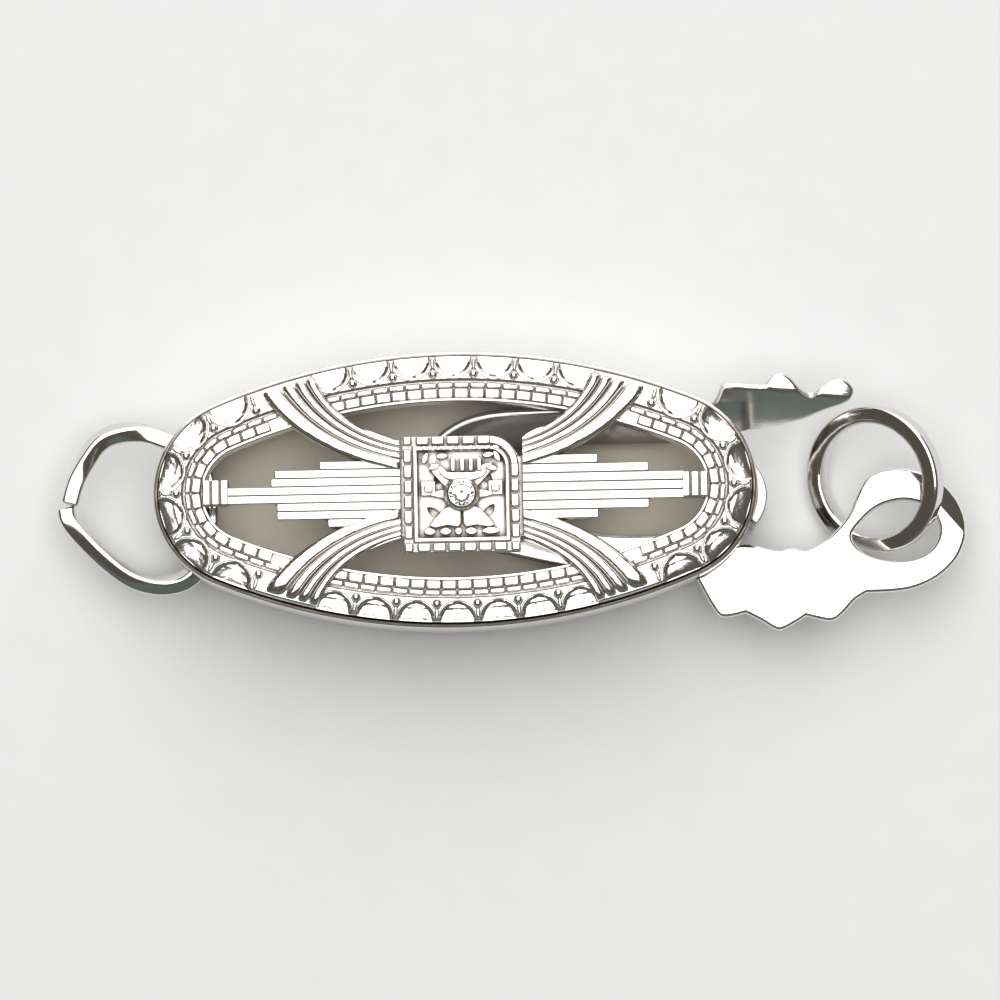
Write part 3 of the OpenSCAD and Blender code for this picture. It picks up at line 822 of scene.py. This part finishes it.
places, corners = [], []
for side in range(4):
    for i in range(7):
        spot = at(-GRAIN_ROW + 2 * GRAIN_ROW * i / 7, GRAIN_ROW, 0.52, 90)
        if (side, i) not in ((0, 6), (3, 0), (3, 1)):
            (places if i else corners).append(PLAQUE_PLACE @ at(0, 0, 0, 90 * side) @ spot)
worn_band = soften(blank("worn_band", quarter(0.85) + quarter(0.61, True), 0.52, 0.28), 0.05, 2)
worn_band.data.transform(PLAQUE_PLACE)
side_grains = copies("side_grains", square_grain(0.375, 0.25, 0.28, 0.05), places)
corner_grains = copies("corner_grains", square_grain(0.25, 0.25, 0.28, 0.05), corners)
plaque_grains = join("plaque_grains", [side_grains, corner_grains, worn_band])
finish_piece(plaque_grains, "case", cast_metal, smooth=60)

# %% [markdown]
# The field is bright-cut: four broad limbs run to the corners, with a crescent and four small upright bars
# over the stone, a framed stud on each side, small leaves along the top and a row of petals at the foot. Each
# form is drawn flat, extruded and rounded, as if it were cut from plate.

# %% Field of the plaque
LIMB = [(0.4, 0.17), (0.4, -0.17), (0.96, -0.14), (1.16, 0), (0.96, 0.14)]
FOOT = [(0.03, -0.42), (0.3, -0.32), (0.5, -0.42), (0.72, -0.66), (0.86, -0.84), (0.7, -0.9), (0.4, -0.83),
        (0.12, -0.88), (0.03, -0.78)]
RAY = [(0.45, 0.12), (0.45, -0.12), (0.84, -0.04), (0.84, 0.04)]
SQUARE = ((-1, -1), (1, -1), (1, 1), (-1, 1))
LEAVES = ((-0.72, 0.72, 20), (0.8, 0.68, -15), (-0.95, 0.95, 70), (0.95, 0.98, -60), (-0.5, 1.0, 5),
          (0.72, 1.02, 10))
field = []


def lay(form, edge=0.025):
    """Rounds a form's edges and lays it on the field."""
    field.append(soften(form, edge, 2, angle=60))


def plate_form(points, z, thick, turn=0):
    """A small flat form whose top is at z."""
    form = blank("form", points, z - thick / 2, thick)
    form.data.transform(at(0, 0, 0, turn))
    lay(form)


for turn in (45, 135):
    plate_form(LIMB, 0.6, 0.24, turn)
for way in (-1, 1):
    plate_form([(way * x, y) for x, y in FOOT], 0.6, 0.24)
for turn in (180, 0):
    plate_form(RAY, 0.57, 0.2, turn)
bow = [math.radians(a) for a in range(186, 355, 12)]
lower = [(0.05 + 0.62 * math.cos(a), 0.60 + 0.27 * math.sin(a)) for a in bow]
upper = [(x, 0.64 - (0.60 - y) * 0.3) for x, y in reversed(lower)]
plate_form(lower + upper, 0.66, 0.3)
for x in (-0.22, 0.03, 0.26, 0.48):
    plate_form([(x - 0.055, 0.6), (x + 0.055, 0.6), (x + 0.055, 0.95), (x - 0.055, 0.95)], 0.62, 0.26)
for x in (-0.88, 0.9):
    for size, z in ((0.38, 0.56), (0.19, 0.66)):
        plate_form([(x + i * size / 2, 0.15 + j * size / 2) for i, j in SQUARE], z, 0.22)
for x, length in ((-0.86, 0.34), (-0.44, 0.34), (-0.1, 0.22), (0.24, 0.34), (0.76, 0.5)):
    lay(leaf(x, -1.0, length, 0.19, 0, 0.55, 0.2))
for x, y, turn in LEAVES:
    lay(leaf(x, y, 0.34, 0.15, turn, 0.55, 0.2))
for k in range(9):
    lay(leaf(-0.94 + 0.235 * k, 1.22, 0.21, 0.1, 25 if k % 2 else -25, 0.61, 0.1), 0.02)
plaque_field = join("plaque_field", field)
plaque_field.data.transform(PLAQUE_HOME)
finish_piece(plaque_field, "case", field_metal, smooth=40)


def turned(name, section, steps):
    """A ring turned about the upright axis from a closed section of (radius, height) points."""
    piece = outline(name, [Vector((radius, 0, z)) for radius, z in section])
    edit(piece)
    bpy.ops.mesh.spin(steps=steps, angle=math.tau, center=(0, 0, 0), axis=(0, 0, 1))
    tidy_faces()
    clear_bench()
    return piece


# a foot, a steep flank leaning in over the stone, a thin lip and the seat below it
COLLET = [(0.47, 0.36), (0.47, 0.6), (0.46, 0.625), (0.4, 0.695), (0.345, 0.742), (0.333, 0.742), (0.33, 0.728),
          (0.43, 0.65), (0.435, 0.62), (0.3, 0.36)]
collet = turned("collet", COLLET, 48)
collet.data.transform(PLAQUE_HOME)
finish_piece(collet, "case", field_metal, smooth=50)

# %% [markdown]
# The hook is one springy strip. Two lines describe it: where its middle runs, and how far it turns out of
# the flat on the way. The strip is lofted along them with a plain four-cornered section.

# %% Spring strip
LEG_Z, UPPER_Y, UPPER_Z, ROLL, SHEET = 1.5, 1.78, 1.55, 48, 0.26
# the strip's middle, its width, and its turn as a share of the upper leg's roll
HOOK_ROUTE = [
    (6.6, -1.72, LEG_Z, 1.08, 0), (5.2, -1.72, LEG_Z, 1.08, 0), (4.2, -1.7, LEG_Z, 1.08, 0),
    (3.3, -1.56, LEG_Z, 1.08, 0.02), (1.7, -1.18, LEG_Z, 1.08, 0.06), (0.8, -0.98, LEG_Z, 1.08, 0.12),
    (0.05, -0.66, LEG_Z, 1.08, 0.25), (-0.4, -0.1, LEG_Z, 1.08, 0.4), (-0.46, 0.6, 1.5, 1.12, 0.6),
    (-0.05, 1.25, 1.52, 1.2, 0.78), (0.8, 1.66, 1.54, 1.27, 0.92), (2.2, UPPER_Y, UPPER_Z, 1.3, 1),
    (4, UPPER_Y, UPPER_Z, 1.3, 1), (6.9, UPPER_Y, UPPER_Z, 1.3, 1)]


def between(a, b, c, d, u):
    """A place between b and c on a smooth curve through a, b, c and d."""
    return (2 * b + (c - a) * u + (2 * a - 5 * b + 4 * c - d) * u * u + (3 * b - a - 3 * c + d) * u ** 3) / 2


def route_at(route, t):
    """A smooth curve through the points of a route, whatever numbers they carry."""
    last = len(route) - 1
    i = min(int(t), last - 1)
    b, c = Vector(route[i]), Vector(route[i + 1])
    a = Vector(route[i - 1]) if i > 0 else 2 * b - c
    d = Vector(route[i + 2]) if i + 2 <= last else 2 * c - b
    return between(a, b, c, d, t - i)


def route_way(route, t):
    """Which way a route runs at t."""
    last = len(route) - 1
    ahead, behind = route_at(route, min(t + 0.01, last)), route_at(route, max(t - 0.01, 0))
    return Vector((ahead - behind)[:3]).normalized()


def strip_ring(t):
    """The strip's four corners at t. It is a touch thinner than the plate and the tab that it ends in."""
    *centre, wide, roll = route_at(HOOK_ROUTE, t)
    way = route_way(HOOK_ROUTE, t)
    turn = math.radians(ROLL * roll)
    flat = Vector((-way.y, way.x, 0)).normalized()
    across = math.cos(turn) * flat + Vector((0, 0, math.sin(turn)))
    side, up = across * wide / 2, way.cross(across) * (SHEET - 0.02) / 2
    return [Vector(centre) + i * side + j * up for i, j in ((1, 1), (-1, 1), (-1, -1), (1, -1))]


spring = loft("spring_strip", [strip_ring(k / 6) for k in range(6 * (len(HOOK_ROUTE) - 1) + 1)])
soften(spring, 0.1, 3, angle=50)
finish_piece(spring, "hook", spring_metal, smooth=50)

# %% [markdown]
# The thumb plate and the finger tab are the two ends of the same sheet, sawn to an outline with pointed
# scallops. The outline is drawn with a few points, a smooth curve is laid through them, and the corners
# between the scallops stay sharp. The blank is extruded, its edges are filed round, and its sawn walls are
# left duller than its faces. Use has bent the plate's end down a little.

# %% Thumb plate


def smooth_line(points, sharp, steps=4):
    """A smooth closed curve through the points, with a corner at each of the sharp ones."""
    line, n = [], len(points)
    for i in range(n):
        b, c = Vector(points[i]), Vector(points[(i + 1) % n])
        a = 2 * b - c if points[i] in sharp else Vector(points[i - 1])
        d = 2 * c - b if points[(i + 1) % n] in sharp else Vector(points[(i + 2) % n])
        line += [between(a, b, c, d, k / steps) for k in range(steps)]
    return line


def scribe(piece, way, distances):
    """Draws lines across a piece, at distances along a way, for a bend to follow."""
    edit(piece)
    for distance in distances:
        bpy.ops.mesh.select_all(action="SELECT")
        bpy.ops.mesh.bisect(plane_co=way * distance, plane_no=way)
    bpy.ops.object.mode_set(mode="OBJECT")


PLATE = [(6.3, -1.2), (7.3, -1.44), (8, -1.52), (8.6, -1.67), (9, -1.6), (9.4, -1.68), (9.92, -1.41),
         (10.3, -1.05), (10.58, -0.68), (10.74, -0.3), (11, 0.17), (11.4, 0.41), (11.85, 0.48), (12.4, 0.44),
         (13, 0.18), (13.45, -0.3), (13.68, -0.85), (13.68, -1.4), (13.42, -2), (12.9, -2.48), (12.28, -2.76),
         (11.7, -2.85), (10.98, -2.87), (10.68, -3.05), (10.35, -3.4), (10.05, -3.6), (9.7, -3.56),
         (9.34, -3.46), (9.05, -3.64), (8.6, -3.83), (8.15, -3.58), (7.72, -3.35), (7.4, -3.43), (7.05, -3.43),
         (6.8, -3.12), (6.52, -2.6), (6.36, -2.25), (6.3, -1.9)]
PLATE_CORNERS = [(6.3, -1.2), (9.34, -3.46), (7.72, -3.35), (10.98, -2.87), (6.3, -1.9)]
EYE = [(10.63, -1.3), (10.81, -1.02), (11.2, -0.65), (11.6, -0.46), (12.1, -0.4), (12.6, -0.55),
       (12.92, -0.95), (12.95, -1.35), (12.75, -1.72), (12.39, -1.94), (11.93, -2.03), (11.48, -1.98),
       (11.03, -1.83), (10.73, -1.58)]
END_WAY, END_FROM, END_SLOPE = Vector((math.cos(math.radians(40)), math.sin(math.radians(40)), 0)), 9.6, 0.42
plate = blank("thumb_plate", smooth_line(PLATE, PLATE_CORNERS), LEG_Z, SHEET)
cut(plate, blank("eye", smooth_line(EYE, []), LEG_Z, 1))
soften(plate, 0.12, 4, angle=60)
two_finishes(plate, sheet_metal, sawn_metal, lambda face: abs(face.normal.z) < 0.25)
scribe(plate, END_WAY, (END_FROM - 0.02, END_FROM + 0.02))
for corner in plate.data.vertices:
    corner.co.z -= END_SLOPE * max(corner.co.dot(END_WAY) - END_FROM, 0)
finish_piece(plate, "hook", sheet_metal, smooth=50)

# %% [markdown]
# The finger tab leans with the far leg. Fingers have pressed the tips of its scallops back flat, so its blank
# is folded there on the bench, and is then rolled and moved to the leg's end.

# %% Finger tab
TAB = [(6.7, -0.62), (7.1, -0.48), (7.7, -0.26), (8.6, -0.1), (9.3, 0.13), (9.92, 0.45), (10.5, 0.72),
       (10.74, 1.0), (10.6, 1.28), (10.33, 1.4), (10, 1.3), (9.57, 0.99), (9.28, 1.2), (9.04, 1.5),
       (8.8, 1.65), (8.56, 1.6), (8.33, 1.37), (7.95, 1.39), (7.55, 1.45), (7.18, 1.4), (7.08, 1.1),
       (6.95, 0.8), (6.7, 0.62)]
TAB_CORNERS = [(6.7, -0.62), (9.57, 0.99), (8.33, 1.37), (6.7, 0.62)]
# one fold for each side of the notch: the way across it and its distance
NOTCH, TIP_ARC, TIP_TURN = 9.57, 0.18, math.radians(46)
FOLDS = [(Vector((0.158, 0.987, 0)), 2.519), (Vector((0.21, 0.978, 0)), 2.988)]
tab = blank("finger_tab", smooth_line(TAB, TAB_CORNERS), 0, SHEET)
soften(tab, 0.12, 3, angle=60)
two_finishes(tab, tab_metal, sawn_metal, lambda face: abs(face.normal.z) < 0.9)
for way, start in FOLDS:
    scribe(tab, way, [start + k * TIP_ARC / 3 for k in range(4)])
tip_radius = TIP_ARC / TIP_TURN
for corner in tab.data.vertices:
    way, start = FOLDS[corner.co.x > NOTCH]
    reach = corner.co.dot(way) - start
    if reach > 0:
        bent, straight = min(reach / TIP_ARC, 1) * TIP_TURN, max(reach - TIP_ARC, 0)
        out = tip_radius + corner.co.z
        corner.co += way * (out * math.sin(bent) + straight * math.cos(bent) - reach)
        corner.co.z = out * math.cos(bent) - tip_radius - straight * math.sin(bent)
tab.data.transform(Matrix.Translation((0, UPPER_Y, UPPER_Z)) @ Matrix.Rotation(math.radians(ROLL), 4, "X"))
finish_piece(tab, "hook", tab_metal, smooth=50)

# %% [markdown]
# The end ring is a piece of wire bent by hand through the two holes, with its cut ends side by side. The
# pliers have pressed it a little flat and turned it on the way, so that it mirrors the light in one place and
# the dark of the room in the next. A rounded square is lofted along its route, turned by the last number of
# each point in degrees, and the two cut ends are dulled by a small bevel.

# %% End ring
RING_ROUTE = [
    (-10.37, -0.07, 1.5, 0), (-10.2, 0.55, 1.48, 10), (-9.89, 1.17, 1.48, 28), (-9.53, 1.62, 1.47, 34),
    (-8.96, 1.84, 1.44, 34), (-8.34, 1.82, 1.38, 12), (-7.8, 1.62, 1.32, 0), (-7.35, 1.42, 1.3, 0),
    (-6.95, 1.1, 1.3, 0), (-6.7, 0.5, 1.3, 0), (-6.62, -0.3, 1.3, 0), (-6.68, -1.1, 1.3, 0),
    (-6.84, -1.7, 1.3, -15), (-7.2, -2.08, 1.28, -34), (-7.6, -2.24, 1.22, -38), (-8.14, -2.25, 1.12, -34),
    (-8.79, -2.03, 1.02, -28), (-9.5, -1.47, 1, -27), (-10.12, -0.83, 1.05, -22), (-10.42, -0.45, 1.12, -8),
    (-10.5, -0.12, 1.17, 0)]


def wire_section(half, corner, steps=5):
    """The corners of a rounded square about (0, 0)."""
    section = []
    for quadrant, (i, j) in enumerate(((1, 1), (-1, 1), (-1, -1), (1, -1))):
        for k in range(steps):
            a = math.radians(90 * quadrant + 90 * k / (steps - 1))
            x, y = i * (half - corner), j * (half - corner)
            section.append((x + corner * math.cos(a), y + corner * math.sin(a)))
    return section


def wire_ring(route, t, section):
    """The wire's section at t, square to the route and turned."""
    way = route_way(route, t)
    lift = (Vector((0, 0, 1)) - way.z * way).normalized()
    side = lift.cross(way)
    *centre, turn = route_at(route, t)
    cos, sin = math.cos(math.radians(turn)), math.sin(math.radians(turn))
    return [Vector(centre) + (u * cos - v * sin) * side + (u * sin + v * cos) * lift for u, v in section]


end_section = wire_section(0.23, 0.1)
steps = 4 * (len(RING_ROUTE) - 1)
end_ring = loft("end_ring_wire", [wire_ring(RING_ROUTE, k / 4, end_section) for k in range(steps + 1)])
soften(end_ring, 0.04, 2, angle=60)
finish_piece(end_ring, "case", wire_metal, smooth=50)

# %% [markdown]
# The jump ring links the necklace to the hook. It is bent from square wire with rounded corners, so its flat
# face mirrors one dark part of the room while its corners catch the light. The section is spun round the
# ring's middle, and the ring is then leaned over to lie in the eye.

# %% Jump ring
WIRE_R, RING_R, RING_X, RING_Y = 0.27, 1.78, 11.28, 0.21
RING_LEAN, RING_TURN, OFF_TABLE = math.radians(35), 22, 0.01
jump = turned("jump_ring_wire", [(RING_R + u, v) for u, v in wire_section(0.235, 0.1)], 112)
ring_z = RING_R * math.sin(RING_LEAN) + WIRE_R + OFF_TABLE
jump.data.transform(at(RING_X, RING_Y, ring_z, RING_TURN) @ Matrix.Rotation(-RING_LEAN, 4, "Y"))
finish_piece(jump, "hook", wire_metal, smooth=50)

# %% [markdown]
# The stone is a small single cut: a table, eight crown facets and eight pavilion facets. The solid already
# has them, flat and sharp, so it only gets its glass.

# %% Stone
clear_glass, glass = tinted("clear_stone", 3000, (0.95, 0.97, 1), (1, 1, 1))
glass.inputs["Transmission Weight"].default_value = 1
glass.inputs["Roughness"].default_value = 0.02
glass.inputs["IOR"].default_value = 1.9
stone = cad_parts["centre_stone"]
for slot in stone.material_slots:
    slot.material = clear_glass
print("stone slots", len(stone.material_slots))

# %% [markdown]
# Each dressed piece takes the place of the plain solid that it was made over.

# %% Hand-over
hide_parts("box_shell")
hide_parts("filigree_front")
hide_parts("centre_plaque")
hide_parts("hook")
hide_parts("end_ring")
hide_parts("jump_ring")
